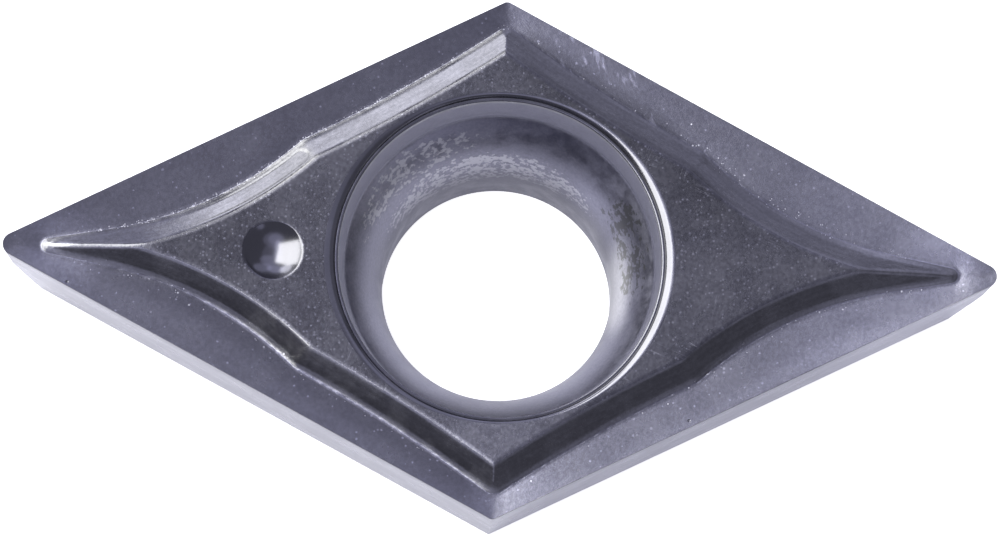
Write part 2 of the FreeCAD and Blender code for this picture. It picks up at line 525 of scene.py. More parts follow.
@dataclass
class TopFace:
    """Everything on the top side: rake faces, banks, plateau and dimple, as one height field."""

    sizes: InsertSizes
    outline: Outline
    former: ChipFormer
    fill_spacing: float = 0.055
    crest_spacing: float = 0.03
    crest_start: float = 1.9
    corner_crease: tuple[float, float] = (-0.5, 0.2)
    edge_gap: float = 0.008
    edge_row_gap: float = 0.012
    inner_row: float = 0.055
    least_gap: float = 0.006
    foot_rows: tuple[float, ...] = (-0.12, -0.09, -0.066, -0.046, -0.03, -0.015,
                                    0.0, 0.015, 0.03, 0.046, 0.066, 0.09)
    bank_rows: tuple[float, ...] = (0.108, 0.126, 0.15, 0.18, 0.21, 0.24, 0.27, 0.30, 0.33, 0.36)
    brow_rows: tuple[float, ...] = (-0.09, -0.07, -0.052, -0.036, -0.021, -0.01,
                                    0.0, 0.01, 0.021, 0.036, 0.052, 0.07, 0.09)
    crest_rows: tuple[float, ...] = (-0.075, -0.055, -0.038, -0.022, -0.01,
                                     0.0, 0.01, 0.022, 0.038, 0.055, 0.075)
    dimple_rows: tuple[float, ...] = (-0.04, -0.026, -0.013, 0.0, 0.013, 0.026, 0.045, 0.075)
    dimple_spacing: float = 0.04
    dimple_row_gap: float = 0.05
    least_columns: int = 8
    pit_columns: int = 12
    pit_rows: tuple[float, ...] = (0.0, 0.3, 0.65, 1.0, 1.3)
    undulation: float = 0.0012
    undulation_pitch: float = 0.55
    undulation_layer: float = 3.1
    undulation_inset: float = 0.3
    line_reach: float = 4.0
    line_share: float = 0.75
    line_wear: float = 0.9
    line_wear_pitch: float = 0.11
    line_wear_layer: float = 8.4

    def height(self, plan: Points) -> Points:
        """Height of the top side.

        Args:
            plan: Points as x and y.

        Returns:
            One height for each point.
        """
        s = self.sizes
        depth = self.former.depth(plan)
        inset = np.maximum(self.outline.distance(plan), 0)
        share = inset / np.maximum(inset + np.maximum(-depth, 0), TINY)
        rake = s.edge_height - s.trough_depth * share

        # Bank, with its pocket and its fall towards the tip of the ridge
        bank = s.edge_height - s.plan_depth + depth * s.bank_slope
        bank = bank - self.former.pocket(plan)
        to_tip = s.half_length_sharp - s.ridge_tip_setback - np.abs(plan[:, 0])
        near_tip = 1 - smooth_step(to_tip, 0, s.tip_fall_reach)
        bank = bank - s.tip_fall * near_tip * smooth_step(depth, 0, s.tip_fall_depth)

        # Rounded brow and foot
        plateau = np.full(len(plan), s.plateau_height)
        raised = soft_min(bank, plateau, s.brow_radius * s.bank_slope ** 2 / 2)
        foot_slope = s.bank_slope + s.trough_depth / s.side_scoop_inset
        top = soft_max(rake, raised, s.foot_radius * foot_slope ** 2 / 2)
        top = top - self._foot_line(plan, depth) * smooth_step(to_tip, *s.foot_line_ends)

        # Pits, dimple and slight waves
        for pit_x, pit_y in s.pits:
            reach = np.hypot(plan[:, 0] - pit_x, plan[:, 1] - pit_y) / s.pit_radius
            top = top - s.pit_depth * (1 - smooth_step(reach, s.pit_floor_share, 1.0))
        reach = self._from_dimple(plan)
        ball = ((s.dimple_diameter / 2) ** 2 + s.dimple_depth ** 2) / (2 * s.dimple_depth)
        bowl = s.plateau_height - s.dimple_depth + ball - np.sqrt(np.maximum(ball ** 2 - reach ** 2, 0))
        top = np.where(reach < s.dimple_diameter, soft_min(top, bowl, s.dimple_lip), top)
        waves = unevenness(plan, self.undulation_pitch, self.undulation_layer) - 1
        return top + self.undulation * waves * smooth_step(inset, 0.0, self.undulation_inset)

    def _foot_line(self, plan: Points, depth: Points) -> Points:
        """Depth of the fine line that the punch's edge leaves along the foot, uneven as it is worn.

        Args:
            plan: Points as x and y.
            depth: Their distances inwards from the foot.

        Returns:
            One depth for each point, in millimetres.
        """
        s = self.sizes
        reach = (depth + s.foot_line_width) / s.foot_line_width
        near = np.abs(reach) < self.line_reach
        left = np.zeros(len(plan))
        worn = unevenness(plan[near], self.line_wear_pitch, self.line_wear_layer)
        left[near] = self.line_share + self.line_wear * worn
        return s.foot_line_depth * left * np.exp(-reach ** 2)

    def points(self) -> Points:
        """Plan points of the whole top side inside its boundary loops, closer together at its features.

        Returns:
            An array of x and y.
        """
        s = self.sizes
        rows = [self.former.row(inset) for inset in self.foot_rows + self.bank_rows]
        rows += [self.former.row(s.brow_reach + inset) for inset in self.brow_rows]
        rows += [self.outline.loop(inset) for inset in (s.edge_hone + self.edge_row_gap, self.inner_row)]
        rows += [self._crests(), self._dimple_rings()]
        circle = ring(self.pit_columns, s.pit_radius)
        rows += [circle * share + pit for pit in s.pits for share in self.pit_rows]
        rows.append(self._fill())
        plan = np.vstack(rows)
        inside = self.outline.distance(plan) > s.edge_hone + self.edge_gap
        return thinned(plan[inside & (self._off_rim(plan) > self.least_gap)], self.least_gap)

    def _off_rim(self, plan: Points) -> Points:
        """Distance outwards from the hole's roll."""
        return np.hypot(*plan.T) - self.sizes.rim_reach(np.arctan2(plan[:, 1], plan[:, 0]))

    def _from_dimple(self, plan: Points) -> Points:
        """Distance from the middle of the dimple."""
        return np.hypot(plan[:, 0] - self.sizes.dimple_x, plan[:, 1])

    def _crests(self) -> Points:
        """Points along the crest of each ridge and the crease between the banks at each obtuse corner.

        Returns:
            An array of x and y.
        """
        ridge_end = self.sizes.ridge_tip_radius - self.former.tip_centre[0]
        ridge = np.arange(self.sizes.rim_radius + self.crest_start, ridge_end, self.crest_spacing)
        first, last = (self.former.corner_centre[1] + reach for reach in self.corner_crease)
        corner = np.arange(first, last, self.crest_spacing)
        crests = [np.column_stack((ridge, np.full(len(ridge), offset))) for offset in self.crest_rows]
        across = np.column_stack((np.zeros(len(corner)), corner))
        return np.vstack([crest * side for crest in crests for side in (1, -1)] + [across, -across])

    def _dimple_rings(self) -> Points:
        """Points on rings round the dimple's middle, closest at its rim.

        Returns:
            An array of x and y.
        """
        middle = (self.sizes.dimple_x, 0.0)
        rim = self.sizes.dimple_diameter / 2
        radii = list(np.arange(self.dimple_spacing, rim - self.dimple_row_gap, self.dimple_spacing))
        radii += [rim + step for step in self.dimple_rows]
        rings = [np.array([middle])]
        for index, radius in enumerate(radii):
            count = max(round(math.tau * radius / self.dimple_spacing), self.least_columns)
            rings.append(ring(count, radius, index % 2 / 2) + middle)
        return np.vstack(rings)

    def _fill(self) -> Points:
        """Even points between the features.

        Returns:
            An array of x and y.
        """
        s = self.sizes
        pitch = self.fill_spacing
        lift = pitch * math.sqrt(3) / 2
        grid = []
        for row in range(-round(s.half_breadth_sharp / lift), round(s.half_breadth_sharp / lift) + 1):
            reach = s.half_length_sharp * (1 - abs(row) * lift / s.half_breadth_sharp)
            steps = math.floor(max(reach, 0) / pitch) + 1
            x = (np.arange(-steps, steps + 1) + row % 2 / 2) * pitch
            grid.append(np.column_stack((x, np.full(len(x), row * lift))))
        plan = np.vstack(grid)
        depth = self.former.depth(plan)
        plain_rake = depth < self.foot_rows[0] - pitch / 2
        plain_land = depth > s.brow_reach + self.brow_rows[-1] + pitch / 2
        away = self._from_dimple(plan) > s.dimple_diameter / 2 + self.dimple_rows[-1] + pitch / 2
        off_edge = self.outline.distance(plan) > self.inner_row + pitch / 2
        off_rim = self._off_rim(plan) > pitch / 2
        return plan[(plain_rake | plain_land) & away & off_edge & off_rim]

    def zone(self, plan: Points) -> Points:
        """Finish of each face of the top side, by its middle.

        Args:
            plan: Middles of the faces as x and y.

        Returns:
            One Zone number for each face.
        """
        depth = self.former.depth(plan)
        in_dimple = self._from_dimple(plan) < self.sizes.dimple_diameter / 2
        raised = np.where(depth < self.sizes.brow_reach, Zone.BANK, Zone.LAND)
        return np.where(in_dimple, Zone.DIMPLE, np.where(depth < 0.0, Zone.RAKE, raised))


def straight(start: tuple[float, float], end: tuple[float, float], steps: int, zone: Zone) -> list[Row]:
    """Turned rows along a straight line of the profile, from one step after its start to its end."""
    shares = [step / steps for step in range(1, steps + 1)]
    return [(start[0] + (end[0] - start[0]) * share, start[1] + (end[1] - start[1]) * share, zone)
            for share in shares]


@dataclass
class Hole:
    """Turned surface of the screw hole: rolled rim, groove, bead, wall, collar, bell and throat."""

    sizes: InsertSizes
    columns: int = 432
    roll_steps: int = 9
    steep_row: int = 6
    wall_steps: int = 2
    collar_steps: int = 5
    bell_steps: int = 26
    throat_steps: int = 7
    bead: tuple[tuple[float, float, float], ...] = ((0.25, 0.35, 0.0), (0.7, 1.0, 0.0),
                                                    (0.85, 1.0, 0.25), (1.0, 1.0, 1.0))

    @property
    def groove_radius(self) -> float:
        """Radius of the outer side of the groove at the foot of the roll."""
        return self.sizes.rim_radius + self.sizes.groove_offset

    def roll(self, top: Callable[[Points], Points]) -> list[tuple[Points, Points]]:
        """Rings of the roll between the plateau and the groove below it.

        Args:
            top: Gives the height of the top side, which the roll follows where it meets a brow.

        Returns:
            The plan points and the heights of each ring, from the plateau down.
        """
        s = self.sizes
        width = s.rim_reach(np.arange(self.columns) * math.tau / self.columns) - self.groove_radius
        rings = []
        for step in range(self.roll_steps + 1):
            turn = math.pi / 2 * step / self.roll_steps
            plan = ring(self.columns, self.groove_radius + width * (1 - math.sin(turn)))
            rings.append((plan, top(plan) - s.roll_drop * (1 - math.cos(turn))))
        return rings

    def profile(self) -> list[Row]:
        """Radius, height and finish at each turned row below the roll, down to the seat.

        Returns:
            The rows in their order down the hole.
        """
        s = self.sizes

        # Groove and bead
        groove_z = s.plateau_height - s.roll_drop - s.groove_depth
        groove_foot = self.groove_radius - s.rim_wall_draft
        rows = [(groove_foot, groove_z, Zone.WALL)]
        for reach, rise, fall in self.bead:
            height = groove_z + s.bead_rise * rise - s.bead_fall * fall
            rows.append((groove_foot - s.bead_reach * reach, height, Zone.RIM))

        # Wall and collar, down to the crease
        wall_top = (groove_foot - s.bead_reach, groove_z)
        wall_foot = (wall_top[0] - s.rim_wall_draft, groove_z - s.rim_wall_depth)
        rows += straight(wall_top, wall_foot, self.wall_steps, Zone.WALL)
        crease_radius = s.rim_radius - s.collar_depth * math.tan(math.radians(s.collar_angle))
        crease_z = s.plateau_height - s.crease_depth
        rows += straight(wall_foot, (crease_radius, crease_z), self.collar_steps, Zone.COLLAR)

        # Bell, throat and chamfer
        drop, step_in = crease_z - s.throat_height, crease_radius - s.throat_radius
        bell_radius = (step_in ** 2 + drop ** 2) / (2 * step_in)
        sweep = math.asin(drop / bell_radius)
        for step in range(1, self.bell_steps + 1):
            turn = sweep * (1 - step / self.bell_steps)
            rows.append((s.throat_radius + bell_radius * (1 - math.cos(turn)),
                         s.throat_height + bell_radius * math.sin(turn), Zone.BELL))
        throat = (s.throat_radius, s.throat_height)
        rows += straight(throat, (s.throat_radius, s.exit_chamfer), self.throat_steps, Zone.BELL)
        rows.append((s.throat_radius + s.exit_chamfer, 0.0, Zone.BELL))
        return rows


@dataclass
class InsertMesh:
    """Gathers vertices and faces of the whole insert and makes its object."""

    sizes: InsertSizes
    hone_steps: int = 4
    flank_rows: int = 5
    seat_round: float = 0.02
    seat_spacing: float = 0.25
    sharp_angle: float = 38.0
    top_band: float = 0.2
    merge_distance: float = 1e-7
    bore_play: float = 1e-4
    vertices: list[Points] = field(default_factory=list)
    faces: list[Loop] = field(default_factory=list)
    zones: list[int] = field(default_factory=list)
    count: int = 0

    def add(self, plan: Points, heights: Points | float) -> Loop:
        """Adds vertices.

        Args:
            plan: Points as x and y.
            heights: Their height, or one for each.

        Returns:
            The numbers of the new vertices.
        """
        heights = np.broadcast_to(heights, (len(plan),))
        self.vertices.append(np.column_stack((plan, heights)))
        numbers = list(range(self.count, self.count + len(plan)))
        self.count += len(plan)
        return numbers

    def weave(self, upper: Loop, lower: Loop, zone: Zone) -> None:
        """Joins two loops of as many vertices with quads, which face outwards on counter-clockwise loops.

        Args:
            upper: Vertices of the loop above, or further in on a face that looks down.
            lower: Vertices of the loop below.
            zone: Finish of the new faces.
        """
        total = len(upper)
        for index in range(total):
            after = (index + 1) % total
            self.faces.append([upper[index], lower[index], lower[after], upper[after]])
            self.zones.append(zone)

    def cover(self, outer: Loop, inner: Loop, plan: Points, heights: Callable[[Points], Points],
              zone: Callable[[Points], Points], upwards: bool) -> None:
        """Fills the ring between two loops with triangles through given points.

        Args:
            outer: Vertices of the outer loop, already added.
            inner: Vertices of the inner loop, already added.
            plan: Points between the loops.
            heights: Gives the height at plan points.
            zone: Gives the finish at plan points.
            upwards: Whether the faces look up.
        """
        known = np.vstack(self.vertices)[outer + inner, :2]
        bore = known[len(outer):]
        bore_turns = np.arctan2(bore[:, 1], bore[:, 0])
        every = np.vstack((known, plan))
        edges = [(i, (i + 1) % len(outer)) for i in range(len(outer))]
        edges += [(len(outer) + i, len(outer) + (i + 1) % len(inner)) for i in range(len(inner))]
        found = delaunay_2d_cdt([Vector(point) for point in every], edges, [], 0, self.merge_distance, True)
        numbers = outer + inner + self.add(plan, heights(plan))
        source = [numbers[origins[0]] for origins in found[3]]
        triangles = np.array(found[2])
        middles = np.array([tuple(vertex) for vertex in found[0]])[triangles].mean(axis=1)
        reach = np.interp(np.arctan2(middles[:, 1], middles[:, 0]), np.sort(bore_turns),
                          np.hypot(*bore.T)[np.argsort(bore_turns)], period=math.tau)
        inmost = reach * math.cos(math.pi / len(inner)) - self.bore_play
        outside_bore = np.hypot(*middles.T) > inmost
        for triangle, kept, finish in zip(triangles, outside_bore, zone(middles)):
            if kept:
                corners = [source[corner] for corner in triangle]
                self.faces.append(corners if upwards else corners[::-1])
                self.zones.append(int(finish))

    def build(self) -> bpy.types.Object:
        """Builds the whole insert.

        Returns:
            The mesh object, in metres, whose faces carry the number of their Zone as material index; its
            slots are added later.
        """
        s = self.sizes
        outline, hole = Outline(s), Hole(s)
        top = TopFace(s, outline, ChipFormer(s))
        roll = hole.roll(top.height)
        edge_loop = outline.loop(s.edge_hone)
        edge = self.add(edge_loop, top.height(edge_loop))
        rim = self.add(*roll[0])
        self.cover(edge, rim, top.points(), top.height, top.zone, True)
        seat_edge = self._sides(edge, outline)
        seat_rim = self._bore(rim, hole, roll[1:])
        self._seat(seat_edge, seat_rim)
        return self._to_object()

    def _sides(self, edge: Loop, outline: Outline) -> Loop:
        """Adds the honed cutting edge and the flanks below it.

        Args:
            edge: Vertices of the top side's outer loop.
            outline: The insert's outline.

        Returns:
            The outer loop of the seat.
        """
        s = self.sizes
        low_z, high_z = self.seat_round, s.edge_height - s.edge_hone
        levels = []
        for step in range(1, self.hone_steps + 1):
            turn = math.pi / 2 * step / self.hone_steps
            levels.append((s.edge_hone * (1 - math.sin(turn)),
                           s.edge_height - s.edge_hone * (1 - math.cos(turn))))
        for step in range(1, self.flank_rows + 1):
            height = high_z + (low_z - high_z) * step / self.flank_rows
            levels.append(((high_z - height) * s.clearance_slope, height))
        levels.append(((high_z - low_z) * s.clearance_slope + self.seat_round, 0.0))
        upper = edge
        for inset, height in levels:
            lower = self.add(outline.loop(inset), height)
            self.weave(upper, lower, Zone.FLANK)
            upper = lower
        return upper

    def _bore(self, rim: Loop, hole: Hole, roll: list[tuple[Points, Points]]) -> Loop:
        """Adds the roll and the turned surface of the hole.

        Args:
            rim: Vertices of the top side's inner loop.
            hole: The screw hole.
            roll: The roll's rings below that loop.

        Returns:
            The inner loop of the seat.
        """
        rings = [(plan, heights, Zone.RIM if row < hole.steep_row else Zone.WALL)
                 for row, (plan, heights) in enumerate(roll)]
        rings += [(ring(hole.columns, radius), height, zone) for radius, height, zone in hole.profile()]
        upper = rim
        for plan, heights, zone in rings:
            lower = self.add(plan, heights)
            self.weave(lower, upper, zone)
            upper = lower
        return upper

    def _seat(self, seat_edge: Loop, seat_rim: Loop) -> None:
        """Adds the flat face that the insert rests on.

        Args:
            seat_edge: Vertices of its outer loop.
            seat_rim: Vertices of its inner loop.
        """
        s = self.sizes
        reach = np.arange(-s.half_length_sharp, s.half_length_sharp, self.seat_spacing)
        plan = np.array([(x, y) for x in reach for y in reach])
        inner = s.half_width - s.edge_height * s.clearance_slope - self.seat_spacing
        inside = np.abs(plan[:, 0]) * s.sine + np.abs(plan[:, 1]) * s.cosine < inner
        outside = np.hypot(*plan.T) > s.throat_radius + self.seat_spacing
        self.cover(seat_edge, seat_rim, plan[inside & outside], lambda at: np.zeros(len(at)),
                   lambda at: np.full(len(at), Zone.SEAT), False)

    def _to_object(self) -> bpy.types.Object:
        """Makes the mesh, smooth all over but sharp at its steepest folds.

        Returns:
            The object, whose points keep their distance from the foot of the banks.
        """
        points = np.vstack(self.vertices)
        mesh = bpy.data.meshes.new("insert_pressed_form")
        mesh.from_pydata((points * MM).tolist(), [], self.faces)
        mesh.polygons.foreach_set("material_index", self.zones)
        mesh.polygons.foreach_set("use_smooth", [True] * len(self.faces))
        mesh.set_sharp_from_angle(angle=math.radians(self.sharp_angle))
        foot = ChipFormer(self.sizes).depth(points[:, :2])
        on_top = points[:, 2] > self.sizes.edge_height - self.top_band
        marks = mesh.attributes.new(FOOT_ATTRIBUTE, "FLOAT", "POINT")
        marks.data.foreach_set("value", np.where(on_top, foot, OFF_TOP).astype(np.float32))
        mesh.validate()
        mesh.update()
        return in_scene("insert_pressed_form", mesh)


# Shader effects


class Wiring:
    """Adds nodes to one tree and joins them, left to right."""

    def __init__(self, tree: bpy.types.NodeTree) -> None:
        """Keeps the tree to work on."""
        self.tree = tree

    def node(self, kind: str, **settings: object) -> bpy.types.Node:
        """Adds one node.

        Args:
            kind: The node's type, without its leading ShaderNode.
            settings: Properties of the node.

        Returns:
            The node.
        """
        made = self.tree.nodes.new("ShaderNode" + kind)
        for name, value in settings.items():
            setattr(made, name, value)
        return made

    def feed(self, socket: Socket, source: Source) -> None:
        """Joins a socket to another one, or sets its value.

        Args:
            socket: An input socket.
            source: An output socket, a number or a tuple of numbers.
        """
        if isinstance(source, Socket):
            self.tree.links.new(source, socket)
        else:
            socket.default_value = source

    def fed(self, kind: str, names: Sequence[str | int], sources: Sequence[Source],
            **settings: object) -> bpy.types.Node:
        """Adds one node and feeds some of its inputs.

        Args:
            kind: The node's type, without its leading ShaderNode.
            names: Names or numbers of the inputs.
            sources: What each of them gets.
            settings: Properties of the node.

        Returns:
            The node.
        """
        made = self.node(kind, **settings)
        for name, source in zip(names, sources):
            self.feed(made.inputs[name], source)
        return made

    def math(self, operation: str, *sources: Source) -> Socket:
        """Result of a Math node."""
        return self.fed("Math", range(len(sources)), sources, operation=operation).outputs[0]

    def times(self, first: Source, second: Source) -> Socket:
        """Product of two values."""
        return self.math("MULTIPLY", first, second)

    def plus(self, first: Source, second: Source) -> Socket:
        """Sum of two values."""
        return self.math("ADD", first, second)

    def minus(self, first: Source, second: Source) -> Socket:
        """Difference of two values."""
        return self.math("SUBTRACT", first, second)

    def over(self, first: Source, second: Source) -> Socket:
        """First value divided by the second."""
        return self.math("DIVIDE", first, second)

    def unsigned(self, value: Source) -> Socket:
        """Value without its sign."""
        return self.math("ABSOLUTE", value)

    def length(self, first: Source, second: Source) -> Socket:
        """Length of a vector of two parts."""
        return self.math("SQRT", self.plus(self.times(first, first), self.times(second, second)))

    def ramp(self, source: Source, low: Source, high: Source, to_low: Source = 0.0,
             to_high: Source = 1.0) -> Socket:
        """Smooth change from one value to another while the source goes from low to high."""
        sources = (source, low, high, to_low, to_high)
        return self.fed("MapRange", range(5), sources, interpolation_type="SMOOTHSTEP").outputs[0]

    def between(self, first: Source, second: Source, mask: Source) -> Socket:
        """Smooth change from one value to another while a mask goes from 0 to 1."""
        return self.ramp(mask, 0.0, 1.0, first, second)

    def fade(self, source: Source, low: Source, high: Source) -> Socket:
        """Smooth change from 1 at the low value of the source to 0 at the high one."""
        return self.ramp(source, low, high, 1.0, 0.0)

    def stretch(self, place: Source, factors: Source) -> Socket:
        """Place or colour with each part multiplied by a factor of its own."""
        return self.fed("VectorMath", (0, 1), (place, factors), operation="MULTIPLY").outputs[0]

    def toned(self, colour: Source, mask: Source, low: float, high: float, blueness: float = 1.0) -> Socket:
        """Makes a colour lighter or darker by a factor that follows a mask.

        Args:
            colour: The colour.
            mask: Where it changes, from 0 to 1.
            low: The factor where the mask is 0.
            high: The factor where the mask is 1.
            blueness: Further factor for blue where the mask is 1.

        Returns:
            The new colour.
        """
        tone = self.between(low, high, mask)
        blue = tone if blueness == 1.0 else self.between(low, high * blueness, mask)
        return self.stretch(colour, self.join(tone, tone, blue))

    def join(self, *parts: Source) -> Socket:
        """Vector of up to three numbers."""
        return self.fed("CombineXYZ", range(len(parts)), parts).outputs[0]

    def split(self, place: Source) -> Masks:
        """The x, y and z of a place."""
        return tuple(self.fed("SeparateXYZ", (0,), (place,)).outputs)

    def turned(self, place: Source, angle: Source) -> Socket:
        """Place turned about the Z axis."""
        names = ("Vector", "Angle")
        return self.fed("VectorRotate", names, (place, angle), rotation_type="Z_AXIS").outputs[0]

    def noise(self, place: Source, scale: Source, detail: float = 2.0, roughness: float = 0.5) -> Socket:
        """Value of a fractal noise."""
        names = ("Vector", "Scale", "Detail", "Roughness")
        return self.fed("TexNoise", names, (place, scale, detail, roughness)).outputs[0]

    def cells(self, place: Source, scale: Source) -> Masks:
        """Scatters points, one in each cell of space.

        Args:
            place: Where on the insert.
            scale: Cells to a millimetre.

        Returns:
            The distance from the nearest point, in cells, and two random numbers of its own.
        """
        made = self.fed("TexVoronoi", ("Vector", "Scale"), (place, scale), feature="F1")
        parts = self.fed("SeparateColor", (0,), (made.outputs["Color"],))
        return made.outputs["Distance"], parts.outputs[0], parts.outputs[1]

    def tint(self, mask: Source, first: Source, second: Source) -> Socket:
        """Mix of two colours by a mask."""
        return self.fed("Mix", (0, 6, 7), (mask, first, second), data_type="RGBA").outputs[2]


@dataclass(frozen=True)
class Effect:
    """A shader node group with named inputs and outputs, built once and placed in each material."""

    name: str
    wire: Callable[[Wiring, Sockets], Masks]
    inputs: dict[str, float]
    outputs: tuple[str, ...] = ("Mask",)

    def group(self) -> bpy.types.NodeTree:
        """Finds the node group, or builds it the first time.

        Returns:
            The node group.
        """
        known = bpy.data.node_groups.get(self.name)
        if known:
            return known
        tree = bpy.data.node_groups.new(self.name, "ShaderNodeTree")
        tree.interface.new_socket("Place", in_out="INPUT", socket_type="NodeSocketVector")
        for name, value in self.inputs.items():
            socket = tree.interface.new_socket(name, in_out="INPUT", socket_type="NodeSocketFloat")
            socket.default_value = value
        for name in self.outputs:
            tree.interface.new_socket(name, in_out="OUTPUT", socket_type="NodeSocketFloat")
        entry, way_out = tree.nodes.new("NodeGroupInput"), tree.nodes.new("NodeGroupOutput")
        results = self.wire(Wiring(tree), {socket.name: socket for socket in entry.outputs if socket.name})
        for socket, result in zip(way_out.inputs, results):
            tree.links.new(result, socket)
        return tree

    def place(self, w: Wiring, place: Source, **values: Source) -> Masks:
        """Puts the group in a material.

        Args:
            w: The material's wiring.
            place: Where on the insert, in millimetres.
            values: The group's inputs, with underscores for spaces.

        Returns:
            The group's outputs.
        """
        made = w.node("Group", node_tree=self.group())
        w.feed(made.inputs["Place"], place)
        for name, value in values.items():
            w.feed(made.inputs[name.replace("_", " ")], value)
        return tuple(made.outputs)


def wire_grain(w: Wiring, at: Sockets) -> Masks:
    """Sintered grain: fine unevenness over slow clouds.

    Args:
        w: The group's wiring.
        at: The group's inputs by name.

    Returns:
        The fine grain and the clouds.
    """
    usual_low, usual_high = 0.25, 0.75
    fine = w.noise(at["Place"], at["Fine Scale"], detail=3.0, roughness=0.6)
    slow = w.noise(at["Place"], at["Cloud Scale"], detail=4.0, roughness=0.62)
    spread = at["Cloud Spread"]
    clouds = w.ramp(slow, w.minus(NOISE_MIDDLE, spread), w.plus(NOISE_MIDDLE, spread))
    return w.ramp(fine, usual_low, usual_high), clouds


def wire_glints(w: Wiring, at: Sockets) -> Masks:
    """Scattered dots of different sizes: painted glints of single grains, and lighter specks of grain.

    Args:
        w: The group's wiring.
        at: The group's inputs by name.

    Returns:
        The mask of the dots.
    """
    distance, pick, chance = w.cells(at["Place"], at["Cells"])
    chosen = w.math("LESS_THAN", pick, at["Share"])
    smallest, core = 0.45, 0.35
    size = w.times(at["Size"], w.between(smallest, 1.0, chance))
    dot = w.fade(w.over(distance, at["Cells"]), w.times(size, core), size)
    return (w.times(dot, chosen),)


def wire_scratches(w: Wiring, at: Sockets) -> Masks:
    """Hairline scratches along one direction, broken up into short runs.

    Args:
        w: The group's wiring.
        at: The group's inputs by name.

    Returns:
        The mask of the scratches.
    """
    drawn_out, run_scale, full_run = (0.35, 14.0, 1.0), 1.3, 0.72
    turned = w.turned(at["Place"], at["Turn"])
    thin = w.noise(w.stretch(turned, drawn_out), 1.0, detail=1.0, roughness=0.4)
    line = w.fade(w.unsigned(w.minus(thin, NOISE_MIDDLE)), 0.0, at["Width"])
    runs = w.ramp(w.noise(turned, run_scale), w.minus(1.0, at["Share"]), full_run)
    return (w.times(line, runs),)


def wire_blotches(w: Wiring, at: Sockets) -> Masks:
    """A cluster of small blotches on the hole's wall, where the coating lies rougher or thinner.

    Args:
        w: The group's wiring.
        at: The group's inputs by name.

    Returns:
        The mask of the blotches.
    """
    upright_scale, broad_scale, broad_share = 0.5, 0.3, 0.5
    border, thinning, edge = (0.55, 1.4), 0.7, 0.055
    x, y, z = w.split(at["Place"])
    turn = w.math("ARCTAN2", y, x)
    round_wall = w.join(w.math("COSINE", turn), w.math("SINE", turn), w.times(z, upright_scale))
    off_turn = w.math("WRAP", w.minus(turn, at["Turn"]), math.pi, -math.pi)
    off_turn = w.over(off_turn, at["Turn Reach"])
    off_height = w.over(w.minus(z, at["Height"]), at["Height Reach"])
    patches = w.noise(round_wall, at["Scale"], detail=3.0, roughness=0.6)
    broad = w.noise(round_wall, w.times(at["Scale"], broad_scale))
    level = w.plus(patches, w.times(w.minus(broad, NOISE_MIDDLE), broad_share))
    level = w.minus(level, w.ramp(w.length(off_turn, off_height), *border, 0.0, thinning))
    return (w.ramp(level, w.minus(at["Level"], edge), w.plus(at["Level"], edge)),)


def wire_foot_glints(w: Wiring, at: Sockets) -> Masks:
    """Painted glints of grain crumbs along the foot of the banks: a dense row on the upper left, loose ones
    elsewhere.

    Args:
        w: The group's wiring.
        at: The group's inputs by name.

    Returns:
        The mask of the crumbs' painted glints.
    """
    middle, towards_nose, short_of_tip = (-0.6, 0.6), (3.0, 4.6), (7.9, 8.7)
    middle_share, lower_share, upper_share = 0.25, 0.10, 0.20
    loose_offset, loose_band = -0.06, 0.20
    smallest, largest, core = 0.22, 0.5, 0.4
    x, y, _ = w.split(at["Place"])
    upper = w.ramp(y, *middle)
    dense = w.times(w.fade(x, *middle), upper)
    scattered = w.ramp(w.unsigned(x), *towards_nose, middle_share, 1.0)
    loose = w.times(scattered, w.between(lower_share, upper_share, upper))
    share = w.times(at["Share"], w.fade(w.unsigned(x), *short_of_tip))
    share = w.times(share, w.math("MAXIMUM", dense, loose))
    off = w.minus(w.plus(at["Foot"], at["Offset"]), w.between(loose_offset, 0.0, dense))
    band = w.between(loose_band, at["Band"], dense)
    near = w.fade(w.over(w.unsigned(off), band), 0.0, 1.0)
    distance, pick, chance = w.cells(at["Place"], at["Cells"])
    size = w.between(smallest, largest, chance)
    dot = w.fade(distance, w.times(size, core), size)
    return (w.times(dot, w.math("LESS_THAN", pick, w.times(near, share))),)


def wire_streaks(w: Wiring, at: Sockets) -> Masks:
    """Streaks that the punch's lapped faces leave along the banks.

    Args:
        w: The group's wiring.
        at: The group's inputs by name.

    Returns:
        The mask of the streaks.
    """
    along_scale, across_scale, low, high = 1.6, 18.0, 0.3, 0.7
    x, y, _ = w.split(w.stretch(at["Place"], (along_scale,) * 3))
    along = w.join(w.times(at["Foot"], across_scale), x, y)
    return (w.ramp(w.noise(along, 1.0, detail=3.0, roughness=0.6), low, high),)


def wire_spot(w: Wiring, at: Sockets) -> Masks:
    """A soft oval spot, seen from above.

    Args:
        w: The group's wiring.
        at: The group's inputs by name.

    Returns:
        The mask of the spot.
    """
    x, y, _ = w.split(at["Place"])
    across = w.over(w.minus(x, at["X"]), at["Reach X"])
    along = w.over(w.minus(y, at["Y"]), at["Reach Y"])
    return (w.fade(w.length(across, along), 0.0, 1.0),)


def wire_side_tone(w: Wiring, at: Sockets) -> Masks:
    """One quarter of the top side, between two distances from the foot of its bank.

    Args:
        w: The group's wiring.
        at: The group's inputs by name.

    Returns:
        The mask of the quarter.
    """
    across_border, along_border, end_border = (0.1, 0.7), (-0.1, 0.3), (-0.6, 0.6)
    x, y, _ = w.split(at["Place"])
    across = w.ramp(w.times(x, at["Side X"]), *across_border)
    along = w.ramp(w.times(y, at["Side Y"]), *along_border)
    short_of = w.fade(w.minus(w.unsigned(x), at["Until"]), *end_border)
    quarter = w.times(w.times(across, along), short_of)
    return (w.times(quarter, w.ramp(at["Foot"], at["Start"], at["End"])),)


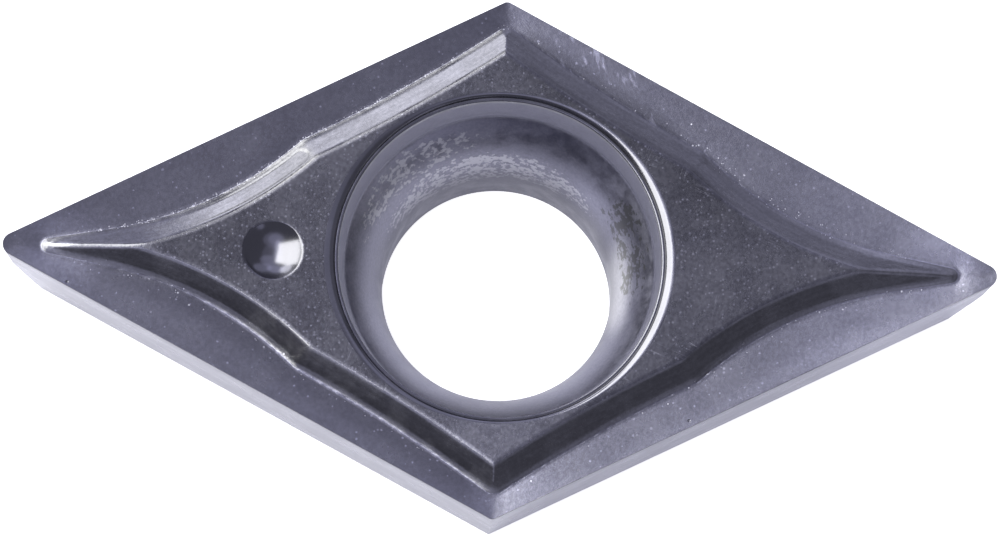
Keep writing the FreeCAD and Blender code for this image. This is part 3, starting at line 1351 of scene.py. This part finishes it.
def wire_smears(w: Wiring, at: Sockets) -> Masks:
    """Short pale smears across the rake, between two places along the insert, on its far side.

    Args:
        w: The group's wiring.
        at: The group's inputs by name.

    Returns:
        The mask of the smears.
    """
    drawn_out, low, high = (1.5, 4.4, 1.0), 0.54, 0.70
    first_border, last_border, far_border = (-0.3, 0.3), (-0.5, 0.3), (0.0, 0.5)
    x, y, _ = w.split(at["Place"])
    turned = w.stretch(w.turned(at["Place"], at["Turn"]), drawn_out)
    strokes = w.ramp(w.noise(turned, 1.0, detail=3.0, roughness=0.6), low, high)
    after = w.ramp(w.minus(x, at["From"]), *first_border)
    before = w.fade(w.minus(x, at["Until"]), *last_border)
    return (w.times(w.times(strokes, w.ramp(y, *far_border)), w.times(after, before)),)


GRAIN = Effect("sinter_grain", wire_grain, {"Fine Scale": 18.0, "Cloud Scale": 1.5, "Cloud Spread": 0.18},
               ("Fine", "Clouds"))
GLINTS_AND_SPECKS = Effect("stray_grains", wire_glints, {"Cells": 1.6, "Share": 0.5, "Size": 0.03})
SCRATCHES = Effect("hairline_scratches", wire_scratches, {"Turn": 0.0, "Width": 0.02, "Share": 0.45})
BLOTCHES = Effect("wall_blotches", wire_blotches,
                  {"Turn": 0.0, "Turn Reach": 1.0, "Height": 2.0, "Height Reach": 1.0, "Scale": 18.0,
                   "Level": 0.52})
FOOT_GLINTS = Effect("foot_beads", wire_foot_glints,
                    {"Foot": OFF_TOP, "Cells": 17.0, "Offset": 0.02, "Band": 0.06, "Share": 0.5})
STREAKS = Effect("bank_streaks", wire_streaks, {"Foot": OFF_TOP})
SIDE_TONE = Effect("side_tone", wire_side_tone,
                   {"Foot": OFF_TOP, "Side X": 1.0, "Side Y": 1.0, "Start": -0.5, "End": 0.0, "Until": 9.0})
SMEARS = Effect("pale_smears", wire_smears, {"From": 1.0, "Until": 3.3, "Turn": 1.27})
SPOT = Effect("soft_spot", wire_spot, {"X": 0.0, "Y": 0.0, "Reach X": 1.0, "Reach Y": 1.0})


# Finishes


@dataclass(frozen=True)
class PaintedLightPatch:
    """A soft oval patch, in millimetres, where the coating is lighter by a factor above 1, as painted light,
    or darker by one below 1, as painted shade.
    """

    x: float
    y: float
    reach_x: float
    reach_y: float
    factor: float
    blueness: float = 1.0


@dataclass(frozen=True)
class Side:
    """Painted light and shade on one quarter of the top side: darker by a factor below 1, lighter by one
    above 1.

    It grows from nothing to its full factor between two distances from the foot of the bank, which are
    negative on the rake, and fades beyond a distance from the middle of the insert.
    """

    side_x: float
    side_y: float
    start: float
    end: float
    factor: float
    until: float = 9.0


@dataclass(frozen=True)
class CoatedFinish:
    """A finish of the coated carbide: its tone, gloss, clouds, grain, painted glints, scratches, and patches
    and bands of painted light and shade.
    """

    name: str
    tone: float = 1.0
    blueness: float = 1.0
    roughness: float = 0.3
    tone_swing: float = 0.15
    gloss_swing: float = 0.05
    cloud_scale: float = 1.4
    cloud_spread: float = 0.18
    fine_scale: float = 18.0
    fine_share: float = 0.3
    bump_depth: float = 0.0006
    mark_roughness: float = 0.5
    # Painted glints of single grains
    glint_cells: float = 1.6
    glint_share: float = 0.0
    glint_size: float = 0.03
    # Painted glints of crumbs along the feet of the banks
    foot_glint_share: float = 0.0
    foot_glint_cells: tuple[float, ...] = (17.0, 29.0)
    foot_glint_strength: float = 0.55
    speck_share: float = 0.0
    speck_cloud_scale: float = 1.1
    speck_cells: float = 14.0
    speck_size: float = 0.036
    speck_tone: float = 2.2
    speck_strength: float = 0.7
    scratch_share: float = 0.0
    scratch_turns: tuple[float, ...] = (0.4, 1.9)
    scratch_strength: float = 0.2
    streak_swing: float = 0.0
    smear_factor: float = 1.0
    # Patches of painted light and shade, then bands of painted shade and painted highlight lines along the
    # feet and brows of the banks
    light_patches: tuple[PaintedLightPatch, ...] = ()
    painted_side_shading: tuple[Side, ...] = ()

    def coat(self, factor: float) -> Colour:
        """The coating's colour, lighter or darker by a factor."""
        red, green, blue = (channel * self.tone * factor for channel in COAT)
        return red, green, blue * self.blueness, 1.0

    def material(self) -> bpy.types.Material:
        """Builds the finish's material.

        Returns:
            The material.
        """
        made = bpy.data.materials.new(self.name)
        made.use_nodes = True
        w = Wiring(made.node_tree)
        shader = made.node_tree.nodes["Principled BSDF"]
        place = w.stretch(w.node("TexCoord").outputs["Object"], (1 / MM, 1 / MM, 1 / MM))
        fine, clouds = GRAIN.place(w, place, Fine_Scale=self.fine_scale, Cloud_Scale=self.cloud_scale,
                                   Cloud_Spread=self.cloud_spread)
        mask = w.plus(w.times(fine, self.fine_share), w.times(clouds, 1 - self.fine_share))
        colour = w.tint(mask, self.coat(1 - self.tone_swing), self.coat(1 + self.tone_swing))
        smooth, rough = self.roughness - self.gloss_swing, self.roughness + self.gloss_swing
        colour, roughness = self.mark(w, place, colour, w.between(smooth, rough, clouds))
        bump = w.fed("Bump", ("Distance", "Height"), (self.bump_depth * MM, fine))
        w.feed(shader.inputs["Base Color"], colour)
        w.feed(shader.inputs["Roughness"], roughness)
        w.feed(shader.inputs["Normal"], bump.outputs[0])
        shader.inputs["Metallic"].default_value = 1.0
        return made

    def mark(self, w: Wiring, place: Source, colour: Source, roughness: Source) -> tuple[Source, Source]:
        """Lays painted light and shade, smears, streaks, specks, painted glints and scratches over the colour
        and the roughness.

        Args:
            w: The material's wiring.
            place: Where on the insert, in millimetres.
            colour: The colour so far.
            roughness: The roughness so far.

        Returns:
            The new colour and roughness.
        """
        marks = []
        foot = w.node("Attribute", attribute_name=FOOT_ATTRIBUTE).outputs["Fac"]
        # Patches of painted light and shade
        for spot in self.light_patches:
            mask, = SPOT.place(w, place, X=spot.x, Y=spot.y, Reach_X=spot.reach_x, Reach_Y=spot.reach_y)
            colour = w.toned(colour, mask, 1.0, spot.factor, spot.blueness)
        # Bands of painted shade and painted highlight lines along the feet and brows of the banks
        for side in self.painted_side_shading:
            mask, = SIDE_TONE.place(w, place, Foot=foot, Side_X=side.side_x, Side_Y=side.side_y,
                                    Start=side.start, End=side.end, Until=side.until)
            colour = w.toned(colour, mask, 1.0, side.factor)
        if self.smear_factor != 1.0:
            colour = w.toned(colour, SMEARS.place(w, place)[0], 1.0, self.smear_factor)
        if self.streak_swing:
            streaks, = STREAKS.place(w, place, Foot=foot)
            colour = w.toned(colour, streaks, 1 - self.streak_swing, 1 + self.streak_swing)
        if self.speck_share:
            share = w.times(w.noise(place, self.speck_cloud_scale), self.speck_share)
            specks, = GLINTS_AND_SPECKS.place(w, place, Cells=self.speck_cells, Share=share, Size=self.speck_size)
            colour = w.tint(w.times(specks, self.speck_strength), colour, self.coat(self.speck_tone))
        # Painted glints of single grains
        if self.glint_share:
            marks += GLINTS_AND_SPECKS.place(w, place, Cells=self.glint_cells, Share=self.glint_share,
                                  Size=self.glint_size)
        # Painted glints of crumbs along the feet of the banks
        for cells in self.foot_glint_cells if self.foot_glint_share else ():
            foot_glint_mask, = FOOT_GLINTS.place(w, place, Foot=foot, Share=self.foot_glint_share, Cells=cells)
            marks.append(w.times(foot_glint_mask, self.foot_glint_strength))
        for turn in self.scratch_turns if self.scratch_share else ():
            lines, = SCRATCHES.place(w, place, Turn=turn, Share=self.scratch_share)
            marks.append(w.times(lines, self.scratch_strength))
        # Painted glints and real scratches lighten the colour towards the glint colour
        for mask in marks:
            colour = w.tint(mask, colour, PAINTED_GLINT_AND_SCRATCH_COLOUR)
            roughness = w.between(roughness, self.mark_roughness, mask)
        return colour, roughness


@dataclass(frozen=True)
class Cluster:
    """Where a cluster of blotches lies on the hole's wall, and how light and rough they are."""

    turn: float
    turn_reach: float
    height: float
    height_reach: float
    tone: float
    roughness: float
    level: float = 0.52
    scale: float = 18.0


@dataclass(frozen=True)
class WallFinish(CoatedFinish):
    """The hole's wall, with clusters of light and dark blotches, and painted shade that makes it darker
    towards the throat and lighter towards the top.
    """

    # Painted shade by height in the hole
    painted_upper_light: float = 1.3
    upper_height: float = 2.6
    painted_throat_shade: float = 0.42
    throat_height: float = 1.0
    clusters: tuple[Cluster, ...] = ()

    def mark(self, w: Wiring, place: Source, colour: Source, roughness: Source) -> tuple[Source, Source]:
        """Lays the blotches over the colour and the roughness, paints shade down the hole, and lays the
        common marks over them.

        Args:
            w: The material's wiring.
            place: Where on the insert, in millimetres.
            colour: The colour so far.
            roughness: The roughness so far.

        Returns:
            The new colour and roughness.
        """
        height = w.split(place)[2]
        for one in self.clusters:
            mask, = BLOTCHES.place(w, place, Turn=one.turn, Turn_Reach=one.turn_reach, Height=one.height,
                                   Height_Reach=one.height_reach, Scale=one.scale, Level=one.level)
            colour = w.tint(mask, colour, (*(channel * one.tone for channel in COAT), 1.0))
            roughness = w.between(roughness, one.roughness, mask)
        # Painted shade: darker down towards the throat, lighter towards the top
        tone = w.ramp(height, self.throat_height, self.upper_height, self.painted_throat_shade, self.painted_upper_light)
        colour = w.stretch(colour, w.join(tone, tone, tone))
        return CoatedFinish.mark(self, w, place, colour, roughness)


# In these finishes the light patches are painted light and shade, the side shading is painted shade and
# painted highlight lines, and the glints and foot glints are painted highlights
FINISHES: dict[Zone, CoatedFinish] = {
    Zone.RAKE: CoatedFinish(
        "pressed_rake", roughness=0.26, blueness=1.05, tone_swing=0.14, gloss_swing=0.02, cloud_scale=1.1,
        cloud_spread=0.35, fine_scale=12.0, fine_share=0.82, glint_share=0.28, glint_size=0.024,
        foot_glint_share=0.5, speck_share=0.16, smear_factor=1.95,
        # Painted light near both noses and at the lower obtuse corner
        light_patches=(PaintedLightPatch(7.6, 0.0, 3.4, 12.0, 1.38), PaintedLightPatch(-8.9, 0.0, 1.6, 1.6, 1.4),
               PaintedLightPatch(0.5, -4.9, 1.8, 1.2, 1.25), PaintedLightPatch(8.9, 0.4, 1.6, 1.3, 1.35)),
        # Painted shade along the upper right and lower left feet, painted light towards the lower right edge,
        # and a painted highlight line along the lower left foot
        painted_side_shading=(Side(1, 1, -0.45, -0.03, 0.68, 3.6), Side(1, -1, -0.3, -1.0, 1.25),
               Side(-1, -1, -0.7, -0.1, 0.78, 8.2), Side(-1, -1, -0.085, -0.02, 1.9, 6.0))),
    Zone.BANK: CoatedFinish(
        "pressed_bank", roughness=0.20, blueness=0.96, tone_swing=0.16, fine_scale=15.0, fine_share=0.7,
        foot_glint_share=0.4, streak_swing=0.07,
        # Painted light near the right nose, and a painted highlight on the crest at the left tip
        light_patches=(PaintedLightPatch(7.8, 0.75, 1.8, 0.9, 1.5), PaintedLightPatch(-8.86, 0.03, 0.5, 0.085, 2.1)),
        # Painted shade near the upper right foot and brow and the lower left foot, and painted highlight
        # lines at the lower left brow and foot
        painted_side_shading=(Side(1, 1, 0.25, 0.5, 0.72, 4.6), Side(1, 1, 0.08, -0.1, 0.8, 4.0),
               Side(-1, -1, 0.35, 0.05, 0.75, 7.5), Side(-1, -1, 0.3, 0.45, 1.3, 7.5),
               Side(-1, -1, 0.045, 0.0, 2.2, 6.0))),
    Zone.LAND: CoatedFinish(
        "pressed_land", tone=0.70, blueness=1.02, roughness=0.27, tone_swing=0.28, gloss_swing=0.03,
        cloud_scale=1.3, cloud_spread=0.35, fine_scale=13.0, fine_share=0.75, bump_depth=0.001,
        glint_share=0.3, glint_size=0.024, speck_share=0.85, scratch_share=0.4,
        # Painted light at the front, painted shade on the left, on the upper right and beside its brow
        light_patches=(PaintedLightPatch(0.0, -3.7, 2.6, 1.5, 1.6), PaintedLightPatch(-5.6, 0.2, 2.6, 2.2, 0.78),
               PaintedLightPatch(3.6, 1.3, 1.8, 1.4, 0.85), PaintedLightPatch(1.9, 2.9, 1.8, 1.2, 0.85)),
        painted_side_shading=(Side(1, 1, 1.3, 0.5, 0.8, 4.8),)),
    Zone.DIMPLE: CoatedFinish(
        "smooth_dimple", roughness=0.19, tone_swing=0.05, gloss_swing=0.02, bump_depth=0.0002),
    Zone.RIM: CoatedFinish(
        "rolled_rim", roughness=0.16, tone_swing=0.08, gloss_swing=0.03, bump_depth=0.0003,
        # Painted light on the left side of the roll
        light_patches=(PaintedLightPatch(-3.45, 0.0, 0.7, 3.2, 1.45),)),
    # Darker by a tone of 0.9: painted shade in the groove, on the roll's steep end and on the wall below it
    Zone.WALL: CoatedFinish("rim_wall", tone=0.9, tone_swing=0.05, bump_depth=0.0003),
    Zone.COLLAR: CoatedFinish(
        "hole_collar", blueness=1.14, roughness=0.45, tone_swing=0.2, cloud_scale=5.0, bump_depth=0.0008),
    Zone.BELL: WallFinish(
        "hole_wall", blueness=1.12, roughness=0.38, tone_swing=0.24, cloud_scale=2.6, cloud_spread=0.22,
        fine_share=0.4, bump_depth=0.0008,
        clusters=(Cluster(2.3, 0.75, 2.75, 0.5, 1.9, 0.45, 0.53, 24.0),
                  Cluster(1.75, 1.35, 1.75, 0.75, 2.1, 0.45, 0.50, 24.0),
                  Cluster(0.25, 0.55, 2.5, 0.75, 0.55, 0.4, 0.5)),
        # Painted shade on the left and front of the wall, a painted highlight along the throat's right side
        # and painted light on the far right
        light_patches=(PaintedLightPatch(-2.9, 0.2, 1.1, 2.2, 0.82), PaintedLightPatch(2.40, -0.1, 0.46, 1.5, 3.1, 0.82),
               PaintedLightPatch(2.2, 1.9, 1.2, 1.3, 1.35), PaintedLightPatch(0.0, -2.9, 2.6, 0.9, 0.72))),
    Zone.FLANK: CoatedFinish(
        "ground_flank", tone=0.97, tone_swing=0.06, gloss_swing=0.03, bump_depth=0.0003,
        # Painted light on the lower right flank towards the right nose
        light_patches=(PaintedLightPatch(8.4, -1.2, 2.8, 2.2, 1.5),)),
    Zone.SEAT: CoatedFinish(
        "ground_seat", roughness=0.4, tone_swing=0.1, scratch_share=0.33, scratch_turns=(0.0, 0.04, 3.1)),
}


# Studio


@dataclass(frozen=True)
class Softbox:
    """A square or oval softbox that faces the insert.

    Its place is a direction: the x and y of the unit vector from the insert. Its width and its length,
    which lies along +Y as far as its slant allows, are angles in degrees seen from the insert.
    """

    name: str
    towards_x: float
    towards_y: float
    width: float
    length: float
    radiance: float
    colour: tuple[float, float, float] = FILL
    square: bool = False
    distance: float = 300.0

    def across(self, angle: float) -> float:
        """Size in metres of something seen from the insert at an angle in degrees."""
        return 2 * self.distance * math.tan(math.radians(angle / 2)) * MM

    def lamp(self) -> bpy.types.Object:
        """Makes the lamp.

        Returns:
            The lamp object.
        """
        data = bpy.data.lights.new(self.name, "AREA")
        data.shape = "RECTANGLE" if self.square else "ELLIPSE"
        data.size = self.across(self.width)
        data.size_y = self.across(self.length)
        area = data.size * data.size_y * (1 if self.square else math.pi / 4)
        data.energy = self.radiance * math.pi * area
        data.color = self.colour
        made = in_scene(self.name, data)
        upwards = math.sqrt(1 - self.towards_x ** 2 - self.towards_y ** 2)
        back = Vector((self.towards_x, self.towards_y, upwards))
        along = (Vector((0, 1, 0)) - back * back.y).normalized()
        turn = Matrix((along.cross(back), along, back)).transposed()
        made.matrix_world = Matrix.Translation(back * self.distance * MM) @ turn.to_4x4()
        return made


SOFTBOXES = (
    Softbox("left_key", -0.71, 0.25, 66, 60, 3.95, (1.0, 1.0, 1.0), square=True),
    Softbox("left_overhead", -0.24, 0.06, 18, 50, 0.6),
    Softbox("overhead", 0.05, 0.35, 50, 60, 0.14),
    Softbox("back_overhead", 0.05, 0.60, 56, 34, 0.30),
    Softbox("back_left_low", -0.49, 0.82, 24, 26, 2.3, (0.97, 0.97, 1.06)),
    Softbox("back_low", -0.14, 0.89, 40, 24, 0.6),
    Softbox("back_right_low", 0.36, 0.84, 44, 26, 0.34),
    Softbox("front_fill", -0.12, -0.42, 40, 28, 0.26),
    Softbox("front_wide", -0.04, -0.40, 58, 40, 0.20),
    Softbox("front_right_low", 0.54, -0.79, 24, 16, 0.35),
)


def grey(level: float) -> Colour:
    """A neutral colour."""
    return level, level, level, 1.0


@dataclass
class Studio:
    """Camera, floor and world, in millimetres and degrees, with the clip and the floor's reach in metres."""

    pitch: float = 12.7455
    yaw: float = 1.0049
    roll: float = 1.6966
    camera_x: float = 0.00125
    camera_y: float = -0.16327
    distance: float = 450.507
    lens: float = 804.44
    sensor: float = 36.0
    clip: tuple[float, float] = (0.01, 50.0)
    floor_reach: float = 4.0
    floor_gap: float = 0.02
    floor_white: float = 0.92
    floor_tone: float = 0.8
    floor_in_metal: tuple[float, float, float] = (0.62, 0.62, 0.735)
    surroundings: tuple[float, float, float] = (0.165, 0.165, 0.22)

    def camera(self, aim_height: float) -> bpy.types.Object:
        """Makes the camera at the photograph's viewing angle.

        Args:
            aim_height: Height of the point that the camera turns about, in millimetres.

        Returns:
            The camera object.
        """
        data = bpy.data.cameras.new("camera")
        data.lens, data.sensor_width, data.sensor_fit = self.lens, self.sensor, "HORIZONTAL"
        data.clip_start, data.clip_end = self.clip
        made = in_scene("camera", data)
        turn = (Matrix.Rotation(math.radians(-self.roll), 3, "Z")
                @ Matrix.Rotation(math.radians(-self.pitch), 3, "X")
                @ Matrix.Rotation(math.radians(self.yaw), 3, "Y"))
        back = turn.transposed()
        place = back @ Vector((self.camera_x, self.camera_y, self.distance)) + Vector((0, 0, aim_height))
        made.matrix_world = Matrix.Translation(place * MM) @ back.to_4x4()
        bpy.context.scene.camera = made
        return made

    def floor(self) -> bpy.types.Object:
        """Makes the pale floor, which looks white, keeps the shadow and can be seen through from below.

        Returns:
            The floor object.
        """
        mesh = bpy.data.meshes.new("floor")
        reach, below = self.floor_reach, -self.floor_gap * MM
        corners = [(x * reach, y * reach, below) for x, y in ((-1, -1), (1, -1), (1, 1), (-1, 1))]
        mesh.from_pydata(corners, [], [(0, 1, 2, 3)])
        made = in_scene("floor", mesh)
        material = bpy.data.materials.new("pale_floor")
        material.use_nodes = True
        material.node_tree.nodes.clear()
        w = Wiring(material.node_tree)
        path = w.node("LightPath").outputs
        dimmed = w.math("MAXIMUM", path["Is Glossy Ray"], path["Is Transmission Ray"])
        in_metal = w.tint(dimmed, grey(0.0), (*self.floor_in_metal, 1.0))
        seen = w.tint(path["Is Camera Ray"], in_metal, grey(self.floor_white))
        glow = w.fed("Emission", ("Color",), (seen,))
        diffuse = w.fed("BsdfDiffuse", ("Color",), (grey(self.floor_tone),))
        both = w.fed("AddShader", (0, 1), (glow.outputs[0], diffuse.outputs[0]))
        from_below = w.node("NewGeometry").outputs["Backfacing"]
        clear = w.node("BsdfTransparent").outputs[0]
        upper_side = w.fed("MixShader", (0, 1, 2), (from_below, both.outputs[0], clear))
        w.fed("OutputMaterial", ("Surface",), (upper_side.outputs[0],))
        mesh.materials.append(material)
        return made

    def world(self) -> None:
        """Makes the plain surroundings, which look white but light the insert softly."""
        made = bpy.data.worlds.new("studio")
        made.use_nodes = True
        w = Wiring(made.node_tree)
        seen = w.node("LightPath").outputs["Is Camera Ray"]
        colour = w.tint(seen, (*self.surroundings, 1.0), grey(1.0))
        w.feed(made.node_tree.nodes["Background"].inputs["Color"], colour)
        bpy.context.scene.world = made


def main() -> None:
    """Builds the insert, its finishes and the studio, and reports the insert and the studio through the log.
    """
    bpy.context.scene.view_settings.view_transform = "Standard"
    sizes = InsertSizes()
    insert = InsertMesh(sizes).build()
    for zone in Zone:
        insert.data.materials.append(FINISHES[zone].material())
    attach(insert, "root")
    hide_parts(NODE)
    log.info("insert: %d vertices, %d faces", len(insert.data.vertices), len(insert.data.polygons))
    studio = Studio()
    studio.camera(sizes.edge_height)
    studio.floor()
    studio.world()
    lamps = [box.lamp() for box in SOFTBOXES]
    log.info("studio: camera, floor, world and %d lamps", len(lamps))


if __name__ == "__main__":
    logging.basicConfig(level=logging.INFO, format="%(name)s: %(message)s")
    main()
